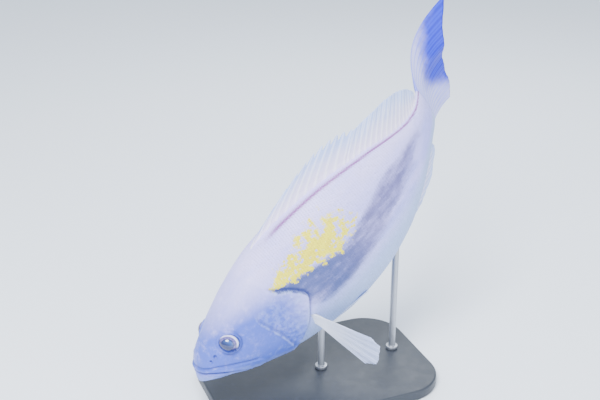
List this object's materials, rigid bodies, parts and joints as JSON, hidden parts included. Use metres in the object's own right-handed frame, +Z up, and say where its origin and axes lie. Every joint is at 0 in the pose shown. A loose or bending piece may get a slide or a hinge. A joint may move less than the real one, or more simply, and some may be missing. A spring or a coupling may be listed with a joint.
{
  "type": "goldblotch grouper display model",
  "caption": "Life-size still model of a pale sea grouper with a yellow blotch on its flank, diving nose down with its tail swept aside, held by slim rods on a flat rounded base.",
  "frame": {"origin": "the middle of the underside of the stand's base", "axes": "+X toward the tail end of the fish, +Y to the fish's right side, +Z up; the base lies in the XY plane and the fish's head points to -X and down"},
  "size_m": [0.5028, 0.3065, 0.5062],
  "materials": {
    "skin": "painted fish skin, pale lilac and blue with a yellow blotch, satin and slightly wet",
    "fin": "thin cast membrane over rays, pale blue-white, slightly see-through",
    "eye": "polished glass eye, dark teal pupil in a pale violet iris",
    "stand_base": "satin charcoal paint",
    "stand_rod": "brushed rod"
  },
  "bodies": {
    "root": {"head": "skin", "lower_jaw": "skin", "gill_cover_left": "skin", "gill_cover_right": "skin", "trunk": "skin", "tail_stalk": "skin", "dorsal_fin_spiny": "fin", "dorsal_fin_soft": "fin", "anal_fin": "fin", "tail_fin": "fin", "pectoral_fin_left": "fin", "pectoral_fin_right": "fin", "pelvic_fin_left": "fin", "pelvic_fin_right": "fin", "eye_left": "eye", "eye_right": "eye", "stand_base": "stand_base", "stand_rod_front": "stand_rod", "stand_rod_rear": "stand_rod"}
  },
  "joints": []
}
